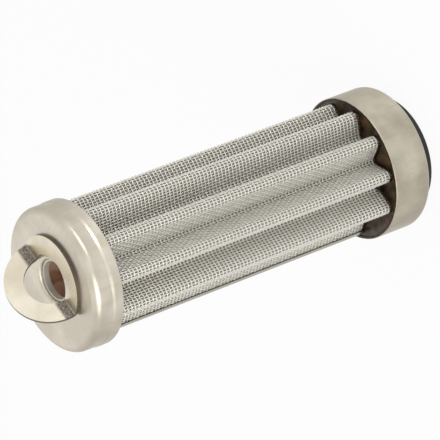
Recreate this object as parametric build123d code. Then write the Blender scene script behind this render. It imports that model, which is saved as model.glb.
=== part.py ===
from build123d import *
from math import acos, atan2, cos, radians, sin, sqrt
import os

os.makedirs("parts", exist_ok=True)

# Hydraulic filter element: a pleated wire cloth pack round a perforated core tube,
# potted with resin into a cap at each end. It stands on its open end, +Z is its axis,
# and the origin is the centre of the seal's underside. Lengths in millimetres.

# Both end caps: outer diameter, sheet thickness and the round on the rim's outer edge,
# and the length of pack between the two rims
cap_outer_d = 65.0
sheet = 1.2
cap_lip_r = 0.4
cap_gap = 146.7

# Open end cap, a drawn steel cup with an outlet collar
open_cap_height = 19.8
open_cap_corner_r = 3.0
outlet_bore_d = 31.0
outlet_collar_h = 9.0
outlet_entry_r = 0.9

# Face seal under the open end
seal_edge = 6.6
seal_width = 7.6
seal_thickness = 5.8
seal_chamfer = 0.6

# Handle end cap: a nose with a round shoulder that swells a little into the skirt, and
# a hole whose edge is turned down into a short collar
handle_cap_height = 14.0
nose_step = 0.3
nose_edge_r = 3.4
nose_depth = 8.6
swell_height = 1.2
hole_edge_r = 1.8
hole_collar_depth = 2.8

# Ferrule that lines the handle end's hole
ferrule_bore_d = 17.0
ferrule_wall = 0.8
ferrule_gap = 0.3
ferrule_flange_t = 1.2
ferrule_setback = 1.9
ferrule_depth = 2.8

# Pull handle, a flat ring folded across its middle
ring_outer_d = 39.6
ring_inner_d = 22.8
ring_sheet = 1.5
ring_offset = 1.8
fold_angle = 68.0
fold_inner_r = 1.3

# Pleated pack: three layers that share their fold centres
pleat_count = 10
seam_angle = 130.0
seam_gap = 60.0
pack_fit = 0.9
ridge_fold_r = 3.0
valley_fold_r = 1.0
support_mesh_t = 0.8
filter_cloth_t = 0.5
pack_below_plate = 2.0
pack_above_floor = 2.0

# Seam clip, a strip rolled over the ridge where the cloth's ends meet; its leg is how
# far it reaches down from the ridge's tip
clip_t = 0.5
clip_leg = 2.2
clip_end_gap = 0.4

# Core tube, which stands round the outlet collar and holds the pack from inside
collar_fit = 0.2
core_fit = 0.35
core_wall = 1.0
core_hole_d = 7.0
core_holes_round = 8
core_rows = 8
core_plain_end = 10.0

# Resin
open_resin_below_rim = 0.5
handle_resin_above_edge = 1.6
handle_resin_step = 1.5
ferrule_in_resin = 3.0

# Heights worked out from the sizes above
floor_z = seal_thickness
open_rim_z = floor_z + open_cap_height
skirt_edge_z = open_rim_z + cap_gap
face_z = skirt_edge_z + handle_cap_height
plate_under_z = face_z - sheet
open_resin_z = open_rim_z - open_resin_below_rim
handle_resin_z = skirt_edge_z + handle_resin_above_edge
pack_bottom_z = floor_z + sheet + pack_above_floor
pack_top_z = plate_under_z - pack_below_plate

# Radii worked out from the sizes above: the core tube fits round the outlet collar,
# the pack's valleys round the core tube, and its ridges inside the handle end cap's nose
cap_outer_r = cap_outer_d / 2
cap_inner_r = cap_outer_r - sheet
outlet_r = outlet_bore_d / 2
collar_outer_r = outlet_r + sheet
core_inner_r = collar_outer_r + collar_fit
core_outer_r = core_inner_r + core_wall
pack_t = 2 * support_mesh_t + filter_cloth_t
valley_r = core_outer_r + core_fit + pack_t
ridge_r = cap_inner_r - nose_step - pack_fit
ferrule_bore_r = ferrule_bore_d / 2
collar_r = ferrule_bore_r + ferrule_wall
hole_r = collar_r + ferrule_gap
handle_resin_bore_r = ferrule_bore_r + handle_resin_step
ferrule_flange_r = handle_resin_bore_r + ferrule_in_resin


def polar(radius, degrees):
    return Vector(radius * cos(radians(degrees)), radius * sin(radians(degrees)))


def ring(outer_r, inner_r, low_z, high_z):
    """A plain ring round the axis."""
    profile = Pos((outer_r + inner_r) / 2, 0, (low_z + high_z) / 2) * Rot(90, 0, 0) * Rectangle(
        outer_r - inner_r, high_z - low_z
    )
    return revolve(profile, Axis.Z)


def turned(*edges):
    """A solid of revolution from edges drawn in the XZ plane, closed by the list itself."""
    return revolve(make_face(Wire(edges)), Axis.Z)


def xz(r, z):
    return Vector(r, 0, z)


def arc_round(centre_r, centre_z, radius, start, end):
    """An arc in the XZ plane round a centre, by its start and end angles from +X."""
    points = [
        xz(centre_r + radius * cos(radians(a)), centre_z + radius * sin(radians(a)))
        for a in (start, (start + end) / 2, end)
    ]
    return ThreePointArc(*points)


def path(*parts):
    """Edges through points and arcs in turn, joined by straight lines and closed."""
    edges = []
    first = None
    last = None
    for part in parts:
        is_arc = not isinstance(part, Vector)
        start = part @ 0 if is_arc else part
        if last is not None and (start - last).length > 1e-6:
            edges.append(Line(last, start))
        if first is None:
            first = start
        if is_arc:
            edges.append(part)
            last = part @ 1
        else:
            last = part
    edges.append(Line(last, first))
    return edges


def open_end_cap():
    """Cup with a floor, and an outlet collar drawn up into the core tube."""
    floor_top = floor_z + sheet
    collar_top = floor_z + outlet_collar_h
    corner = open_cap_corner_r
    inner_corner = max(corner - sheet, 0.2)
    entry = outlet_entry_r
    lip = cap_lip_r
    outline = path(
        arc_round(outlet_r + entry, floor_z + entry, entry, 180, 270),
        arc_round(cap_outer_r - corner, floor_z + corner, corner, -90, 0),
        arc_round(cap_outer_r - lip, open_rim_z - lip, lip, 0, 90),
        xz(cap_inner_r, open_rim_z),
        arc_round(cap_inner_r - inner_corner, floor_top + inner_corner, inner_corner, 0, -90),
        xz(collar_outer_r, floor_top),
        xz(collar_outer_r, collar_top),
        xz(outlet_r, collar_top),
    )
    return turned(*outline)


def face_seal():
    """Flat rubber ring bonded under the floor, with its edges taken off."""
    outer_r = cap_outer_r - seal_edge
    body = ring(outer_r, outer_r - seal_width, 0, seal_thickness)
    return chamfer(body.edges().filter_by(GeomType.CIRCLE), seal_chamfer)


def handle_cap_outline(shrink):
    """The drawn cap's outer profile, or its inner one at a sheet's thickness further in."""
    skirt_r = cap_outer_r - shrink
    nose_r = skirt_r - nose_step
    top = face_z - shrink
    edge = nose_edge_r - shrink
    swell_z = face_z - nose_depth
    return path(
        xz(0, top),
        arc_round(nose_r - edge, top - edge, edge, 90, 0),
        xz(nose_r, swell_z),
        xz(skirt_r, swell_z - swell_height),
        xz(skirt_r, skirt_edge_z),
        xz(0, skirt_edge_z),
    )


def handle_cap_inside():
    return turned(*handle_cap_outline(sheet))


def hole_collar():
    """The plate's edge round the hole, turned down into a short collar."""
    turn_r = hole_r + hole_edge_r
    turn_z = face_z - hole_edge_r
    collar_low_z = face_z - hole_collar_depth
    return turned(
        *path(
            arc_round(turn_r, turn_z, hole_edge_r, 90, 180),
            xz(hole_r, collar_low_z),
            xz(hole_r + sheet, collar_low_z),
            arc_round(turn_r, turn_z, hole_edge_r - sheet, 180, 90),
        )
    )


def handle_end_cap():
    """Drawn cap: a nose with a round shoulder, a skirt, and the hole with its collar."""
    cap = turned(*handle_cap_outline(0)) - handle_cap_inside()
    foot = cap.edges().filter_by(GeomType.CIRCLE).group_by(Axis.Z)[0].sort_by(SortBy.RADIUS)[-1]
    cap = fillet(foot, cap_lip_r)
    return cap - Pos(0, 0, face_z) * Cylinder(hole_r + hole_edge_r, 4 * sheet) + hole_collar()


def hole_ferrule():
    """Ferrule with a tube in the hole and a flange held under the hole's collar."""
    top = face_z - ferrule_setback
    tube = ring(collar_r, ferrule_bore_r, top - ferrule_depth, top)
    flange_top = face_z - hole_collar_depth
    return tube + ring(ferrule_flange_r, ferrule_bore_r, flange_top - ferrule_flange_t, flange_top)


def pull_handle():
    """Flat ring folded across its middle: one half welded to the face, the other raised,
    and a round bend in each arm. The bends use up the sheet between the two halves."""
    outer_r = ring_outer_d / 2
    inner_r = ring_inner_d / 2
    bend_run = radians(fold_angle) * (fold_inner_r + ring_sheet / 2)
    half_run = bend_run / 2
    outer_x = sqrt(outer_r**2 - half_run**2)
    inner_x = sqrt(inner_r**2 - half_run**2)
    washer = Circle(outer_r) - Circle(inner_r)
    half_plane = Rectangle(3 * outer_r, 2 * outer_r)
    flat_part = washer & (Pos(0, -outer_r - half_run) * half_plane)
    raised_part = washer & (Pos(0, outer_r + half_run) * half_plane)
    bend_y = -ring_offset - half_run
    bend_axis = Axis((0, bend_y, face_z + ring_sheet + fold_inner_r), (1, 0, 0))
    flat_seat = Pos(0, -ring_offset, face_z)
    raised_seat = Pos(0, -ring_offset - bend_run, face_z)
    handle = flat_seat * extrude(flat_part, ring_sheet)
    raised = (raised_seat * extrude(raised_part, ring_sheet)).rotate(bend_axis, fold_angle)
    for side in (-1, 1):
        middle = Pos(side * (outer_x + inner_x) / 2, bend_y, face_z + ring_sheet / 2)
        section = middle * Rot(90, 0, 0) * Rectangle(outer_x - inner_x, ring_sheet)
        handle += revolve(section, bend_axis, fold_angle)
    return handle + raised


def ridge_angles():
    """Ridge angles in turn, starting at the seam's ridge, with one wider gap before it."""
    pitch = (360 - seam_gap) / (pleat_count - 1)
    return [seam_angle + seam_gap + pitch * i for i in range(pleat_count)]


def valley_angles():
    """The angle of the valley that follows each ridge."""
    ridges = ridge_angles()
    following = ridges[1:] + [ridges[0] + 360]
    return [(a + b) / 2 for a, b in zip(ridges, following)]


def pleat_outline(inset):
    """Closed pleated outline, the pack's outer face moved in by inset. Ridges and valleys
    are arcs about fixed centres, and each flank is the line that touches both arcs."""
    ridge_fold = ridge_fold_r - inset
    valley_fold = valley_fold_r + inset
    ridge_centre = ridge_r - ridge_fold_r
    valley_centre = valley_r + valley_fold_r
    ridges = [polar(ridge_centre, a) for a in ridge_angles()]
    valleys = [polar(valley_centre, a) for a in valley_angles()]

    def touch(ridge, valley, side):
        """Where the flank leaves the ridge's arc and meets the valley's arc."""
        across = valley - ridge
        lean = acos((ridge_fold + valley_fold) / across.length)
        heading = atan2(across.Y, across.X) + side * lean
        normal = Vector(cos(heading), sin(heading))
        return ridge + normal * ridge_fold, valley - normal * valley_fold

    edges = []
    for i, ridge in enumerate(ridges):
        before = valleys[i - 1]
        after = valleys[i]
        ridge_in, valley_out = touch(ridge, before, 1)
        ridge_out, valley_in = touch(ridge, after, -1)
        tip = ridge + ridge.normalized() * ridge_fold
        edges.append(Line(valley_out, ridge_in))
        edges.append(ThreePointArc(ridge_in, tip, ridge_out))
        edges.append(Line(ridge_out, valley_in))
        following = ridges[(i + 1) % len(ridges)]
        _, valley_next = touch(following, after, 1)
        foot = after - after.normalized() * valley_fold
        edges.append(ThreePointArc(valley_in, foot, valley_next))
    return make_face(Wire(edges))


def pleated_layer(inset, thickness, low_z, high_z):
    """One layer of the pack between two heights."""
    section = pleat_outline(inset) - pleat_outline(inset + thickness)
    return Pos(0, 0, low_z) * extrude(section, high_z - low_z)


def seam_clip():
    """Strip rolled over the seam's ridge, following the outer mesh."""
    low_z = open_rim_z + clip_end_gap
    high_z = skirt_edge_z - clip_end_gap
    around = pleated_layer(-clip_t, clip_t, low_z, high_z)
    middle = ridge_r + clip_t - clip_leg / 2
    window = Rot(0, 0, seam_angle) * Pos(middle, 0, (low_z + high_z) / 2) * Box(
        clip_leg, 4 * ridge_fold_r, high_z - low_z
    )
    return around & window


def core_tube():
    """Perforated tube that stands on the open cap's floor and ends in the upper resin."""
    low_z = floor_z + sheet
    tube = ring(core_outer_r, core_inner_r, low_z, pack_top_z)
    first_row = open_rim_z + core_plain_end
    last_row = skirt_edge_z - core_plain_end
    spacing = (last_row - first_row) / (core_rows - 1)
    drill = Rot(0, 90, 0) * Pos(0, 0, core_outer_r) * Cylinder(core_hole_d / 2, core_outer_r)
    drills = []
    for row in range(core_rows):
        stagger = 0.5 * (row % 2)
        for i in range(core_holes_round):
            turn = 360 / core_holes_round * (i + stagger)
            drills.append(Pos(0, 0, first_row + spacing * row) * Rot(0, 0, turn) * drill)
    return tube - drills


def pack_space(low_z, high_z):
    """Everything within the pack's outer face, down to its inner face."""
    return pleated_layer(0, pack_t, low_z, high_z)


def open_end_resin():
    """Resin that fills the cup between its wall and the core tube, round the pack's end."""
    inner_corner = max(open_cap_corner_r - sheet, 0.2)
    body = ring(cap_inner_r, core_outer_r, floor_z + sheet, open_resin_z)
    foot = body.edges().filter_by(GeomType.CIRCLE).group_by(Axis.Z)[0].sort_by(SortBy.RADIUS)[-1]
    body = fillet(foot, inner_corner)
    return body - pack_space(pack_bottom_z, open_rim_z)


def handle_end_resin():
    """Resin that fills the handle end cap round the ferrule, the core tube and the pack."""
    band = ring(cap_outer_r, handle_resin_bore_r, handle_resin_z, face_z)
    body = handle_cap_inside() & band
    core_seat = ring(core_outer_r, core_inner_r, skirt_edge_z, pack_top_z)
    body = body - hole_ferrule() - hole_collar() - core_seat
    return body - pack_space(skirt_edge_z, pack_top_z)


pieces = {
    "open_end_cap": open_end_cap(),
    "face_seal": face_seal(),
    "open_end_resin": open_end_resin(),
    "core_tube": core_tube(),
    "inner_support_mesh": pleated_layer(
        support_mesh_t + filter_cloth_t, support_mesh_t, pack_bottom_z, pack_top_z
    ),
    "filter_cloth": pleated_layer(support_mesh_t, filter_cloth_t, pack_bottom_z, pack_top_z),
    "outer_support_mesh": pleated_layer(0, support_mesh_t, pack_bottom_z, pack_top_z),
    "seam_clip": seam_clip(),
    "handle_end_resin": handle_end_resin(),
    "hole_ferrule": hole_ferrule(),
    "handle_end_cap": handle_end_cap(),
    "pull_handle": pull_handle(),
}

for name, solid in pieces.items():
    export_step(solid, "parts/" + name + ".step")
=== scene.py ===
# Looks of the hydraulic filter element. Lengths are in metres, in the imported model's frame:
# +Z runs from the open end, which it stands on, to the end with the pull handle.
import bpy
import math
import random
from mathutils import Matrix, Vector


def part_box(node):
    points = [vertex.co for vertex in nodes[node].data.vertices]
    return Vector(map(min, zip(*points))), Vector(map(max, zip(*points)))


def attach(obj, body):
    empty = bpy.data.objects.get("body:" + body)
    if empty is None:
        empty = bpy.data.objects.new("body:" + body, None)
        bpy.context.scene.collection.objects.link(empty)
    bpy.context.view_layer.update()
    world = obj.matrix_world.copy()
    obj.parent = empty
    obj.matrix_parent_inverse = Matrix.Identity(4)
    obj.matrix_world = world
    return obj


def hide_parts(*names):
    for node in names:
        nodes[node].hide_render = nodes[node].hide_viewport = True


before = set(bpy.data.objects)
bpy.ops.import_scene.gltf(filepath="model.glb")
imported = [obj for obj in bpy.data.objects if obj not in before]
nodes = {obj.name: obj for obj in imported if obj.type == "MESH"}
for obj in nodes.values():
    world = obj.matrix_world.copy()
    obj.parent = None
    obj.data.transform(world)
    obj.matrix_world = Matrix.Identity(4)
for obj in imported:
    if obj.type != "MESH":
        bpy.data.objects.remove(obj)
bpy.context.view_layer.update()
mm = 0.001
bpy.context.scene.view_settings.view_transform = "Standard"
print("frame loaded:", len(nodes), "nodes")


def linearColour(hexText):
    # sRGB hex to the linear values that the shaders take
    channels = [int(hexText[i:i + 2], 16) / 255 for i in (1, 3, 5)]
    linear = [c / 12.92 if c <= 0.04045 else ((c + 0.055) / 1.055) ** 2.4 for c in channels]
    return (*linear, 1.0)


def addNode(tree, kind, settings=None, links=None):
    # settings: socket or property name to value; links: input socket to output socket
    node = tree.nodes.new(kind)
    for name, value in (settings or {}).items():
        if isinstance(name, int) or name in node.inputs:
            node.inputs[name].default_value = value
        else:
            setattr(node, name, value)
    for name, source in (links or {}).items():
        tree.links.new(source, node.inputs[name])
    return node


def newMaterial(name):
    material = bpy.data.materials.new(name)
    material.use_nodes = True
    tree = material.node_tree
    tree.nodes.clear()
    shader = addNode(tree, "ShaderNodeBsdfPrincipled")
    addNode(tree, "ShaderNodeOutputMaterial", links={"Surface": shader.outputs["BSDF"]})
    return material, tree, shader


def objectPlace(tree):
    return addNode(tree, "ShaderNodeTexCoord").outputs["Object"]


def axisRadius(tree, place):
    # distance from the filter's axis, and the height
    parts = addNode(tree, "ShaderNodeSeparateXYZ", links={"Vector": place})
    flat = addNode(tree, "ShaderNodeCombineXYZ",
                   links={"X": parts.outputs["X"], "Y": parts.outputs["Y"]})
    radius = addNode(tree, "ShaderNodeVectorMath", {"operation": "LENGTH"},
                     {0: flat.outputs["Vector"]})
    return radius.outputs["Value"], parts.outputs["Z"]


# Drawn stainless sheet, AISI 304, satin from the press and a wipe: broad soft reflections,
# faint drawing lines round the axis, upright wipe marks, and warm patches of dried oil
satinSteel = {
    "light": "#dcd5c7", "dark": "#c9c2b3", "warm": "#c3b491", "roughness": (0.30, 0.44),
    "cloudMm": 22.0, "wipeMm": 2.6, "wipeStretch": 0.10, "lineMm": 0.35, "lineDepthMm": 0.004,
    # dark colour: real resin on the open cap's rim; on the pull ring it colours painted shade on the
    # edges and bends
    "stainAndShade": "#33261a", "stainAndShadeRoughness": 0.45, "metallic": 1.0,
    # painted shade: colour and share for the darker side of the caps' walls, away from the lit side
    "sideShade": "#8b806c", "litSideDegrees": -115.0, "sideShadeShare": 0.45,
    "wallFromMm": 29.0, "wallToMm": 31.5,
}


def makeSatinSteel(name, values, darkenedAt=None):
    material, tree, shader = newMaterial(name)
    place = objectPlace(tree)
    clouds = addNode(tree, "ShaderNodeTexNoise",
                     {"Scale": 1000 / values["cloudMm"], "Detail": 3.0, "Roughness": 0.55},
                     {"Vector": place})
    spread = addNode(tree, "ShaderNodeMapRange",
                     {"From Min": 0.38, "From Max": 0.62}, {"Value": clouds.outputs["Fac"]})
    colour = addNode(tree, "ShaderNodeMix",
                     {"data_type": "RGBA", 6: linearColour(values["dark"]),
                      7: linearColour(values["light"])}, {0: spread.outputs["Result"]})
    # wipe marks: noise drawn out along the axis
    stretched = addNode(tree, "ShaderNodeMapping", {"Scale": (1, 1, values["wipeStretch"])},
                        {"Vector": place})
    wipes = addNode(tree, "ShaderNodeTexNoise",
                    {"Scale": 1000 / values["wipeMm"], "Detail": 4.0, "Roughness": 0.6},
                    {"Vector": stretched.outputs["Vector"]})
    wipeShare = addNode(tree, "ShaderNodeMapRange",
                        {"From Min": 0.50, "From Max": 0.80, "To Max": 0.55},
                        {"Value": wipes.outputs["Fac"]})
    colour = addNode(tree, "ShaderNodeMix", {"data_type": "RGBA", 7: linearColour(values["warm"])},
                     {0: wipeShare.outputs["Result"], 6: colour.outputs[2]})
    # painted shade: the caps' walls are darkened away from one lit side, by direction round the axis,
    # made uneven by the clouds
    radius, height = axisRadius(tree, place)
    sideways = addNode(tree, "ShaderNodeVectorMath", {"operation": "MULTIPLY", 1: (1, 1, 0)},
                       {0: place})
    sideways = addNode(tree, "ShaderNodeVectorMath", {"operation": "NORMALIZE"},
                       {0: sideways.outputs["Vector"]})
    litSide = math.radians(values["litSideDegrees"])
    side = addNode(tree, "ShaderNodeVectorMath",
                   {"operation": "DOT_PRODUCT", 1: (math.cos(litSide), math.sin(litSide), 0)},
                   {0: sideways.outputs["Vector"]})
    uneven = addNode(tree, "ShaderNodeMath", {"operation": "MULTIPLY_ADD", 1: 0.5, 2: -0.25},
                     {0: clouds.outputs["Fac"]})
    side = addNode(tree, "ShaderNodeMath", {"operation": "ADD"},
                   {0: side.outputs["Value"], 1: uneven.outputs[0]})
    sideShadeMask = addNode(tree, "ShaderNodeMapRange",
                       {"From Min": 0.95, "From Max": 0.35, "To Max": values["sideShadeShare"]},
                       {"Value": side.outputs[0]})
    wall = addNode(tree, "ShaderNodeMapRange",
                   {"From Min": values["wallFromMm"] * mm, "From Max": values["wallToMm"] * mm},
                   {"Value": radius})
    sideShadeMask = addNode(tree, "ShaderNodeMath", {"operation": "MULTIPLY"},
                       {0: sideShadeMask.outputs["Result"], 1: wall.outputs["Result"]})
    colour = addNode(tree, "ShaderNodeMix", {"data_type": "RGBA", 7: linearColour(values["sideShade"])},
                     {0: sideShadeMask.outputs[0], 6: colour.outputs[2]})
    rough = addNode(tree, "ShaderNodeMapRange",
                    {"From Min": 0.35, "From Max": 0.65, "To Min": values["roughness"][0],
                     "To Max": values["roughness"][1]}, {"Value": clouds.outputs["Fac"]})
    # drawing lines: noise over the distance from the axis and the height alone
    profile = addNode(tree, "ShaderNodeCombineXYZ", links={"X": radius, "Y": height})
    lines = addNode(tree, "ShaderNodeTexNoise",
                    {"Scale": 1000 / values["lineMm"], "Detail": 2.0},
                    {"Vector": profile.outputs["Vector"]})
    bump = addNode(tree, "ShaderNodeBump",
                   {"Strength": 0.35, "Distance": values["lineDepthMm"] * mm},
                   {"Height": lines.outputs["Fac"]})
    tree.links.new(bump.outputs["Normal"], shader.inputs["Normal"])
    shader.inputs["Metallic"].default_value = values["metallic"]
    # darkening: a real resin smear on the open cap's rim, painted shade on the pull ring's edges and
    # bends
    if darkenedAt:
        darkenedShare = darkenedAt(tree, place)
        colour = addNode(tree, "ShaderNodeMix",
                         {"data_type": "RGBA", 7: linearColour(values["stainAndShade"])},
                         {0: darkenedShare, 6: colour.outputs[2]})
        rough = addNode(tree, "ShaderNodeMapRange", {"To Max": values["stainAndShadeRoughness"]},
                        {"Value": darkenedShare, "To Min": rough.outputs["Result"]})
        metallic = addNode(tree, "ShaderNodeMapRange", {"To Min": 1.0, "To Max": 0.4},
                           {"Value": darkenedShare})
        tree.links.new(metallic.outputs["Result"], shader.inputs["Metallic"])
    tree.links.new(colour.outputs[2], shader.inputs["Base Color"])
    tree.links.new(rough.outputs["Result"], shader.inputs["Roughness"])
    return material


# Resin smeared over the open cap's rim, inside its rounded lip
rimSmear = {"depthMm": 0.30, "topMm": 0.08, "lipMm": 0.55, "raggedMm": 0.5, "patchMm": 2.0}


def rimStain(tree, place):
    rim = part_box("open_end_cap")[1]
    radius, height = axisRadius(tree, place)
    onTop = addNode(tree, "ShaderNodeMapRange",
                    {"From Min": rim.z - rimSmear["depthMm"] * mm,
                     "From Max": rim.z - rimSmear["topMm"] * mm},
                    {"Value": height})
    ragged = addNode(tree, "ShaderNodeTexNoise",
                     {"Scale": 1000 / rimSmear["patchMm"], "Detail": 3.0}, {"Vector": place})
    edge = addNode(tree, "ShaderNodeMath",
                   {"operation": "MULTIPLY_ADD", 1: rimSmear["raggedMm"] * mm,
                    2: rim.x - rimSmear["lipMm"] * mm},
                   {0: ragged.outputs["Fac"]})
    inside = addNode(tree, "ShaderNodeMath", {"operation": "LESS_THAN"},
                     {0: radius, 1: edge.outputs[0]})
    darkenedShare = addNode(tree, "ShaderNodeMath", {"operation": "MULTIPLY"},
                      {0: onTop.outputs["Result"], 1: inside.outputs[0]})
    return darkenedShare.outputs[0]


# Pull ring: the cut edges are darkened, partly the rough punched edge's own colour and partly painted
# shade and painted dark reflection on the side walls; only the two faces stay bright
# Distances along +Y are counted from the line where the bend starts
ringFold = {
    "foldDegrees": 68.0, "bendYMm": -3.02, "flatHalfToMm": 2.7,
    "bendShadeFromMm": -0.8, "bendShadeFullMm": 1.0, "bendShadeFadesMm": 2.2, "bendShadeEndsMm": 2.7,
    "patchMm": 0.7,
}


def cutEdgesAndBendShade(tree, place):
    lean = math.radians(ringFold["foldDegrees"])
    normal = addNode(tree, "ShaderNodeTexCoord").outputs["Normal"]
    across = addNode(tree, "ShaderNodeSeparateXYZ", links={"Vector": place}).outputs["Y"]
    shares = []
    for direction, operation, limit in (((0, 0, 1), "LESS_THAN", ringFold["flatHalfToMm"]),
                                        ((0, -math.sin(lean), math.cos(lean)),
                                         "GREATER_THAN", 0.0)):
        facing = addNode(tree, "ShaderNodeVectorMath", {"operation": "DOT_PRODUCT", 1: direction},
                         {0: normal})
        facing = addNode(tree, "ShaderNodeMath", {"operation": "ABSOLUTE"},
                         {0: facing.outputs["Value"]})
        half = addNode(tree, "ShaderNodeMath",
                       {"operation": operation, 1: (ringFold["bendYMm"] + limit) * mm}, {0: across})
        shares.append(addNode(tree, "ShaderNodeMath", {"operation": "MULTIPLY"},
                              {0: facing.outputs[0], 1: half.outputs[0]}).outputs[0])
    face = addNode(tree, "ShaderNodeMath", {"operation": "MAXIMUM"}, {0: shares[0], 1: shares[1]})
    # painted shade with the rough cut edge's own colour: surfaces facing neither face are darkened
    edge = addNode(tree, "ShaderNodeMapRange",
                   {"From Min": 0.55, "From Max": 0.35, "To Max": 0.9}, {"Value": face.outputs[0]})
    # painted shade: the bends, and the sheet a little way before them, are darkened as shade and dark
    # reflection in the crease
    bendY = ringFold["bendYMm"]
    before = addNode(tree, "ShaderNodeMapRange",
                     {"From Min": (bendY + ringFold["bendShadeFromMm"]) * mm,
                      "From Max": (bendY + ringFold["bendShadeFullMm"]) * mm},
                     {"Value": across})
    after = addNode(tree, "ShaderNodeMapRange",
                    {"From Min": (bendY + ringFold["bendShadeEndsMm"]) * mm,
                     "From Max": (bendY + ringFold["bendShadeFadesMm"]) * mm},
                    {"Value": across})
    patchy = addNode(tree, "ShaderNodeTexNoise",
                     {"Scale": 1000 / ringFold["patchMm"], "Detail": 3.0}, {"Vector": place})
    patchy = addNode(tree, "ShaderNodeMapRange",
                     {"From Min": 0.35, "From Max": 0.6, "To Min": 0.65, "To Max": 0.95},
                     {"Value": patchy.outputs["Fac"]})
    bend = addNode(tree, "ShaderNodeMath", {"operation": "MULTIPLY"},
                   {0: before.outputs["Result"], 1: after.outputs["Result"]})
    bend = addNode(tree, "ShaderNodeMath", {"operation": "MULTIPLY"},
                   {0: bend.outputs[0], 1: patchy.outputs["Result"]})
    dark = addNode(tree, "ShaderNodeMath", {"operation": "MAXIMUM"},
                   {0: edge.outputs["Result"], 1: bend.outputs[0]})
    return dark.outputs[0]


# Drawn stainless wire, bright: small sharp glints on round wires, darker brown near the open end's
# resin
wireSteel = {"light": "#fcfaf3", "dark": "#dbd7cc", "roughness": 0.38, "metallic": 0.55,
             "tintMm": 1.4, "resinEndTone": "#3a2a1b", "resinEndMm": 1.6, "resinEndPatchMm": 6.25}


def makeWireSteel(name, values):
    material, tree, shader = newMaterial(name)
    place = objectPlace(tree)
    tint = addNode(tree, "ShaderNodeTexNoise",
                   {"Scale": 1000 / values["tintMm"], "Detail": 3.0}, {"Vector": place})
    colour = addNode(tree, "ShaderNodeMix",
                     {"data_type": "RGBA", 6: linearColour(values["dark"]),
                      7: linearColour(values["light"])}, {0: tint.outputs["Fac"]})
    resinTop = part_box("open_end_resin")[1].z
    height = addNode(tree, "ShaderNodeSeparateXYZ", links={"Vector": place}).outputs["Z"]
    uneven = addNode(tree, "ShaderNodeTexNoise",
                     {"Scale": 1000 / values["resinEndPatchMm"], "Detail": 3.0}, {"Vector": place})
    reach = addNode(tree, "ShaderNodeMath",
                    {"operation": "MULTIPLY_ADD", 1: 2 * values["resinEndMm"] * mm, 2: resinTop},
                    {0: uneven.outputs["Fac"]})
    above = addNode(tree, "ShaderNodeMath", {"operation": "SUBTRACT"},
                    {0: height, 1: reach.outputs[0]})
    nearResinShare = addNode(tree, "ShaderNodeMapRange", {"From Min": 0.3 * mm, "From Max": -0.6 * mm},
                    {"Value": above.outputs[0]})
    colour = addNode(tree, "ShaderNodeMix", {"data_type": "RGBA", 7: linearColour(values["resinEndTone"])},
                     {0: nearResinShare.outputs["Result"], 6: colour.outputs[2]})
    tree.links.new(colour.outputs[2], shader.inputs["Base Color"])
    shader.inputs["Metallic"].default_value = values["metallic"]
    shader.inputs["Roughness"].default_value = values["roughness"]
    return material


# Fine filter cloth under the wires: a dense twill of thin wire, dull and grey in the gaps.
# The real threads are hundredths of a millimetre apart, and the grain is coarser, to show
filterCloth = {"light": "#a6a298", "dark": "#6c685f", "pitchMm": 0.16,
               "metallic": 0.7, "roughness": 0.55}


def makeFilterCloth(name, values):
    material, tree, shader = newMaterial(name)
    place = objectPlace(tree)
    weave = addNode(tree, "ShaderNodeTexNoise",
                    {"Scale": 1000 / values["pitchMm"], "Detail": 1.0}, {"Vector": place})
    colour = addNode(tree, "ShaderNodeMix",
                     {"data_type": "RGBA", 6: linearColour(values["dark"]),
                      7: linearColour(values["light"])}, {0: weave.outputs["Fac"]})
    tree.links.new(colour.outputs[2], shader.inputs["Base Color"])
    shader.inputs["Metallic"].default_value = values["metallic"]
    shader.inputs["Roughness"].default_value = values["roughness"]
    return material


# Potting resin, an amber epoxy: nearly black where it is deep, brown where thin, glossy
poolResin = {"deep": "#1a1007", "lightTone": "#573a17", "roughness": 0.28, "cloudMm": 3.8}
# The same resin at the handle end: a deep pool between the pleats; on the bore its light tone is
# painted light, paler than the resin itself, standing in for light reaching into the bore
paleLitBoreResin = {"deep": "#bf8a6e", "lightTone": "#ecc9b2", "roughness": 0.45, "cloudMm": 3.8,
             "pool": "#4a2e19", "poolFromMm": 17.0, "poolToMm": 18.0}


def makeResin(name, values):
    material, tree, shader = newMaterial(name)
    place = objectPlace(tree)
    slanted = addNode(tree, "ShaderNodeMapping",
                      {"Rotation": (0.6, 0.4, 0.0), "Scale": (1.0, 1.0, 0.35)},
                      {"Vector": place})
    clouds = addNode(tree, "ShaderNodeTexNoise",
                     {"Scale": 1000 / values["cloudMm"], "Detail": 4.0},
                     {"Vector": slanted.outputs["Vector"]})
    spread = addNode(tree, "ShaderNodeMapRange", {"From Min": 0.42, "From Max": 0.66},
                     {"Value": clouds.outputs["Fac"]})
    # on the handle end's bore, the light tone is painted light
    colour = addNode(tree, "ShaderNodeMix",
                     {"data_type": "RGBA", 6: linearColour(values["deep"]),
                      7: linearColour(values["lightTone"])}, {0: spread.outputs["Result"]})
    if "pool" in values:
        radius, height = axisRadius(tree, place)
        pool = addNode(tree, "ShaderNodeMapRange",
                       {"From Min": values["poolFromMm"] * mm,
                        "From Max": values["poolToMm"] * mm}, {"Value": radius})
        colour = addNode(tree, "ShaderNodeMix",
                         {"data_type": "RGBA", 7: linearColour(values["pool"])},
                         {0: pool.outputs["Result"], 6: colour.outputs[2]})
    tree.links.new(colour.outputs[2], shader.inputs["Base Color"])
    shader.inputs["Roughness"].default_value = values["roughness"]
    bump = addNode(tree, "ShaderNodeBump", {"Strength": 0.4, "Distance": 0.3 * mm},
                   {"Height": clouds.outputs["Fac"]})
    tree.links.new(bump.outputs["Normal"], shader.inputs["Normal"])
    return material


# Nitrile rubber, moulded: black and almost matt
sealRubber = {"colour": "#16130f", "roughness": 0.55, "grainMm": 0.4}


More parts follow.
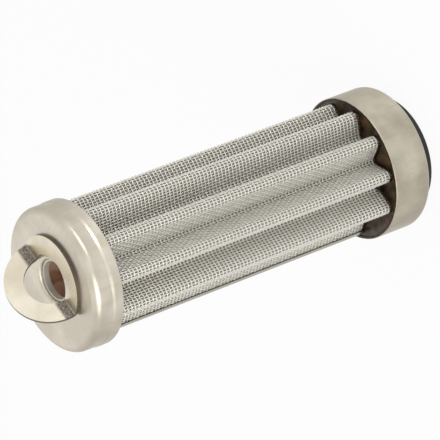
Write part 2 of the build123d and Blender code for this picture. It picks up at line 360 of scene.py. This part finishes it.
def makeRubber(name, values):
    material, tree, shader = newMaterial(name)
    grain = addNode(tree, "ShaderNodeTexNoise",
                    {"Scale": 1000 / values["grainMm"], "Detail": 2.0},
                    {"Vector": objectPlace(tree)})
    bump = addNode(tree, "ShaderNodeBump", {"Strength": 0.2, "Distance": 0.02 * mm},
                   {"Height": grain.outputs["Fac"]})
    shader.inputs["Base Color"].default_value = linearColour(values["colour"])
    shader.inputs["Roughness"].default_value = values["roughness"]
    tree.links.new(bump.outputs["Normal"], shader.inputs["Normal"])
    return material


capSteel = makeSatinSteel("drawn_stainless_sheet", satinSteel)
# painted shade: the open cap is the same drawn sheet given darker colours than the handle cap
shadedCupSteel = makeSatinSteel("drawn_stainless_cup",
                              dict(satinSteel, light="#cbc4b3", dark="#b0a897", warm="#a9987a"),
                              rimStain)
# pull ring: its dark colour paints shade on the edges and bends, with the cut edges' own colour
handleSteel = makeSatinSteel("stamped_stainless_strip",
                             dict(satinSteel, light="#e8e0ce", dark="#d8cfbb", warm="#d2c5a7",
                                  cloudMm=30.0, roughness=(0.22, 0.30), stainAndShade="#3f3328",
                                  wipeStretch=1.0, wipeMm=6.0),
                             cutEdgesAndBendShade)
ferruleSteel = makeSatinSteel("turned_stainless",
                              dict(satinSteel, light="#e2ded3", dark="#cfc9bb",
                                   lineDepthMm=0.01, roughness=(0.40, 0.5), metallic=0.3))
coreSteel = makeSatinSteel("perforated_stainless", dict(satinSteel, light="#a8a196",
                                                        dark="#8f887c", warm="#857a66"))
clipSteel = makeSatinSteel("rolled_stainless_strip", dict(satinSteel, light="#bab5a8",
                                                          dark="#a9a497", warm="#9c9483"))
wires = makeWireSteel("drawn_stainless_wire", wireSteel)
cloth = makeFilterCloth("fine_wire_cloth", filterCloth)
darkResin = makeResin("amber_resin_deep", poolResin)
brownResin = makeResin("amber_resin_brown", paleLitBoreResin)
rubber = makeRubber("nitrile_rubber", sealRubber)

finishes = {
    "open_end_cap": shadedCupSteel, "handle_end_cap": capSteel, "pull_handle": handleSteel,
    "hole_ferrule": ferruleSteel, "core_tube": coreSteel, "seam_clip": clipSteel,
    "outer_support_mesh": wires, "inner_support_mesh": wires, "filter_cloth": cloth,
    "open_end_resin": darkResin, "handle_end_resin": brownResin, "face_seal": rubber,
}
for name, material in finishes.items():
    mesh = nodes[name].data
    mesh.materials.clear()
    mesh.materials.append(material)
print("materials on the CAD nodes")


# Pleats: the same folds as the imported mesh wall, so the wires lie where the wall is
pleats = {
    "count": 10, "seamDegrees": 130.0, "seamGapDegrees": 60.0,
    "ridgeFoldMm": 3.0, "valleyFoldMm": 1.0, "wallMm": 0.8,
}
# Woven wires, a little uneven. The hoop wires lie further apart than the long ones
weave = {
    "longPitchMm": 1.27, "hoopPitchMm": 1.85, "longWireMm": 0.52, "hoopWireMm": 0.64,
    "insetMm": 0.50, "unevenMm": 0.05,
}


def polar(radius, angle):
    return Vector((radius * math.cos(angle), radius * math.sin(angle)))


def pleatFolds():
    # Centres of the ridge and valley folds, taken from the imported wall's own radii
    radii = [math.hypot(v.co.x, v.co.y) for v in nodes["outer_support_mesh"].data.vertices]
    ridgeCentre = max(radii) - pleats["ridgeFoldMm"] * mm
    valleyCentre = min(radii) + (pleats["wallMm"] + pleats["valleyFoldMm"]) * mm
    pitch = math.radians(360 - pleats["seamGapDegrees"]) / (pleats["count"] - 1)
    first = math.radians(pleats["seamDegrees"] + pleats["seamGapDegrees"])
    ridges = [first + pitch * i for i in range(pleats["count"])]
    nextOnes = ridges[1:] + [ridges[0] + 2 * math.pi]
    valleys = [(a + b) / 2 for a, b in zip(ridges, nextOnes)]
    return [polar(ridgeCentre, a) for a in ridges], [polar(valleyCentre, a) for a in valleys]


def pleatOutline(insetMm):
    # Arcs and lines in turn: ("arc", centre, radius, from, sweep) or ("line", start, end)
    ridges, valleys = pleatFolds()
    ridgeFold = (pleats["ridgeFoldMm"] - insetMm) * mm
    valleyFold = (pleats["valleyFoldMm"] + insetMm) * mm

    def flankNormal(ridge, valley, side):
        across = valley - ridge
        lean = math.acos((ridgeFold + valleyFold) / across.length)
        return math.atan2(across.y, across.x) + side * lean

    parts = []
    for i, ridge in enumerate(ridges):
        before, after = valleys[i - 1], valleys[i]
        nextRidge = ridges[(i + 1) % len(ridges)]
        inward = flankNormal(ridge, before, 1)
        outward = flankNormal(ridge, after, -1)
        sweep = (outward - inward) % (2 * math.pi)
        parts.append(("arc", ridge, ridgeFold, inward, sweep))
        flankStart = ridge + polar(ridgeFold, outward)
        flankEnd = after - polar(valleyFold, outward)
        parts.append(("line", flankStart, flankEnd))
        leaving = flankNormal(nextRidge, after, 1)
        sweep = -((outward - leaving) % (2 * math.pi))
        parts.append(("arc", after, valleyFold, outward + math.pi, sweep))
        parts.append(("line", after - polar(valleyFold, leaving),
                      nextRidge + polar(ridgeFold, leaving)))
    return parts


def partLength(part):
    if part[0] == "line":
        return (part[2] - part[1]).length
    return part[2] * abs(part[4])


def alongOutline(parts, count):
    # Evenly spaced points on the closed outline, each with its outward direction
    lengths = [partLength(p) for p in parts]
    total = sum(lengths)
    stations = []
    index, start = 0, 0.0
    for i in range(count):
        distance = total * i / count
        while distance > start + lengths[index]:
            start += lengths[index]
            index += 1
        part, share = parts[index], (distance - start) / lengths[index]
        if part[0] == "line":
            point = part[1].lerp(part[2], share)
            run = (part[2] - part[1]).normalized()
            outward = Vector((run.y, -run.x))
        else:
            angle = part[3] + part[4] * share
            point = part[1] + polar(part[2], angle)
            outward = polar(math.copysign(1.0, part[4]), angle)
        stations.append((point, outward))
    return stations


def evenCount(length, pitch):
    return 2 * round(length / pitch / 2)


def wireMesh(name, routes, wireMm, closed):
    # One mesh of six-sided tubes, a straight stretch from crossing to crossing
    curve = bpy.data.curves.new(name, "CURVE")
    curve.dimensions = "3D"
    curve.bevel_depth = wireMm / 2 * mm
    curve.bevel_resolution = 1
    curve.use_fill_caps = not closed
    for route in routes:
        spline = curve.splines.new("POLY")
        spline.points.add(len(route) - 1)
        for point, place in zip(spline.points, route):
            point.co = (*place, 1.0)
        spline.use_cyclic_u = closed
    drawn = bpy.data.objects.new(name + "_curve", curve)
    bpy.context.scene.collection.objects.link(drawn)
    mesh = bpy.data.meshes.new_from_object(drawn.evaluated_get(bpy.context.evaluated_depsgraph_get()))
    bpy.data.objects.remove(drawn)
    mesh.materials.clear()
    mesh.materials.append(wires)
    piece = bpy.data.objects.new(name, mesh)
    bpy.context.scene.collection.objects.link(piece)
    for face in mesh.polygons:
        face.use_smooth = True
    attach(piece, "root")
    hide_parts("outer_support_mesh")
    return piece


def weaveOuterMesh():
    low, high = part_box("outer_support_mesh")
    outline = pleatOutline(weave["insetMm"])
    around = evenCount(sum(partLength(p) for p in outline), weave["longPitchMm"] * mm)
    rows = evenCount(high.z - low.z, weave["hoopPitchMm"] * mm)
    stations = alongOutline(outline, around)
    rise = (weave["longWireMm"] + weave["hoopWireMm"]) / 4 * mm
    chance = random.Random(5)
    sway = weave["unevenMm"] * mm
    heights = [low.z + (high.z - low.z) * (j + 0.5) / rows + chance.uniform(-sway, sway)
               for j in range(rows)]

    def crossing(i, j, side):
        point, outward = stations[i]
        up = side if (i + j) % 2 == 0 else -side
        place = point + outward * (rise * up + chance.uniform(-sway, sway) / 2)
        return (place.x, place.y, heights[j])

    longWires = [[crossing(i, j, 1) for j in range(rows)] for i in range(around)]
    hoopWires = [[crossing(i, j, -1) for i in range(around)] for j in range(rows)]
    half = around // 2
    wireMesh("outer_mesh_long_wires_1", longWires[:half], weave["longWireMm"], False)
    wireMesh("outer_mesh_long_wires_2", longWires[half:], weave["longWireMm"], False)
    half = rows // 2
    wireMesh("outer_mesh_hoop_wires_1", hoopWires[:half], weave["hoopWireMm"], True)
    wireMesh("outer_mesh_hoop_wires_2", hoopWires[half:], weave["hoopWireMm"], True)
    print("outer mesh woven:", around, "long wires and", rows, "hoop wires")


weaveOuterMesh()


# Studio: a white floor, a pale world, two soft lamps and a camera as in the photograph
view = {
    "axisDegrees": 58.3,      # between the filter's axis and the line to the camera
    "azimuthDegrees": -28.5,
    "rollDegrees": 110.7,     # how far the axis leans from upright in the picture
    "focalPixels": 4200.0, "distance": 1.848,
    "rimCentrePixel": (350.0, 169.0),
}
pictureSide = 440


def addCamera():
    data = bpy.data.cameras.new("photo_camera")
    data.sensor_width = 36.0
    data.lens = data.sensor_width * view["focalPixels"] / pictureSide
    camera = bpy.data.objects.new("photo_camera", data)
    bpy.context.scene.collection.objects.link(camera)
    turn, tilt = math.radians(view["azimuthDegrees"]), math.radians(view["axisDegrees"])
    back = Vector((math.sin(turn) * math.sin(tilt), -math.cos(turn) * math.sin(tilt),
                   math.cos(tilt)))
    levelRight = Vector((0, 0, 1)).cross(back).normalized()
    levelUp = back.cross(levelRight)
    roll = math.radians(view["rollDegrees"])
    right = levelRight * math.cos(roll) - levelUp * math.sin(roll)
    up = levelRight * math.sin(roll) + levelUp * math.cos(roll)
    rim = Vector((0, 0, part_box("open_end_cap")[1].z))
    perPixel = view["distance"] / view["focalPixels"]
    across = (view["rimCentrePixel"][0] - pictureSide / 2) * perPixel
    down = (view["rimCentrePixel"][1] - pictureSide / 2) * perPixel
    place = rim - right * across + up * down + back * view["distance"]
    camera.matrix_world = Matrix((
        (right.x, up.x, back.x, place.x),
        (right.y, up.y, back.y, place.y),
        (right.z, up.z, back.z, place.z),
        (0, 0, 0, 1)))
    data.clip_start = 0.05
    data.clip_end = 20.0
    bpy.context.scene.camera = camera
    return right, up, back


def addFloor():
    bpy.ops.object.select_all(action="DESELECT")
    bpy.ops.mesh.primitive_plane_add(size=12.0, location=(0, 0, 0))
    floor = bpy.context.object
    floor.name = "studio_floor"
    material = bpy.data.materials.new("white_paper")
    material.use_nodes = True
    tree = material.node_tree
    tree.nodes.clear()
    path = addNode(tree, "ShaderNodeLightPath")
    seen = addNode(tree, "ShaderNodeMath", {"operation": "MAXIMUM"},
                   {0: path.outputs["Is Camera Ray"], 1: path.outputs["Is Glossy Ray"]})
    seen = addNode(tree, "ShaderNodeMath", {"operation": "MAXIMUM"},
                   {0: seen.outputs[0], 1: path.outputs["Is Transmission Ray"]})
    share = addNode(tree, "ShaderNodeMath", {"operation": "MULTIPLY", 1: 0.93},
                    {0: seen.outputs[0]})
    paper = addNode(tree, "ShaderNodeBsdfDiffuse", {"Color": linearColour("#f4f4f4")})
    glow = addNode(tree, "ShaderNodeEmission", {"Color": (1, 1, 1, 1), "Strength": 1.0})
    mix = addNode(tree, "ShaderNodeMixShader",
                  links={0: share.outputs[0], 1: paper.outputs[0], 2: glow.outputs[0]})
    addNode(tree, "ShaderNodeOutputMaterial", links={"Surface": mix.outputs[0]})
    floor.data.materials.append(material)


def addWorld():
    world = bpy.data.worlds.new("white_studio")
    bpy.context.scene.world = world
    world.use_nodes = True
    tree = world.node_tree
    tree.nodes.clear()
    path = addNode(tree, "ShaderNodeLightPath")
    seen = addNode(tree, "ShaderNodeMath", {"operation": "MAXIMUM"},
                   {0: path.outputs["Is Camera Ray"], 1: path.outputs["Is Transmission Ray"]})
    seen = addNode(tree, "ShaderNodeMath", {"operation": "MAXIMUM"},
                   {0: seen.outputs[0], 1: path.outputs["Is Glossy Ray"]})
    strength = addNode(tree, "ShaderNodeMapRange", {"To Min": 0.7, "To Max": 1.0},
                       {"Value": seen.outputs[0]})
    background = addNode(tree, "ShaderNodeBackground", {"Color": (1, 1, 1, 1)},
                         {"Strength": strength.outputs["Result"]})
    addNode(tree, "ShaderNodeOutputWorld", links={"Surface": background.outputs[0]})


# Each lamp's direction in the camera's own right, up and back, and its power in watts
lamps = {
    "key_lamp": {"right": 0.38, "up": 0.82, "back": 0.55, "power": 12.0},
    "fill_lamp": {"right": 0.20, "up": -0.60, "back": 0.80, "power": 5.0},
}
lampDistance = 1.2
lampSize = 0.9
lampAimHeight = 0.1


def addLamp(name, direction, power):
    data = bpy.data.lights.new(name, "AREA")
    data.shape = "DISK"
    data.size = lampSize
    data.energy = power
    lamp = bpy.data.objects.new(name, data)
    bpy.context.scene.collection.objects.link(lamp)
    aim = Vector((0, 0, lampAimHeight))
    away = direction.normalized()
    lamp.rotation_mode = "QUATERNION"
    lamp.rotation_quaternion = away.to_track_quat("Z", "Y")
    lamp.location = aim + away * lampDistance
    lamp.visible_camera = False


right, up, back = addCamera()
addFloor()
addWorld()
for name, lamp in lamps.items():
    addLamp(name, right * lamp["right"] + up * lamp["up"] + back * lamp["back"], lamp["power"])
print("studio and camera ready")
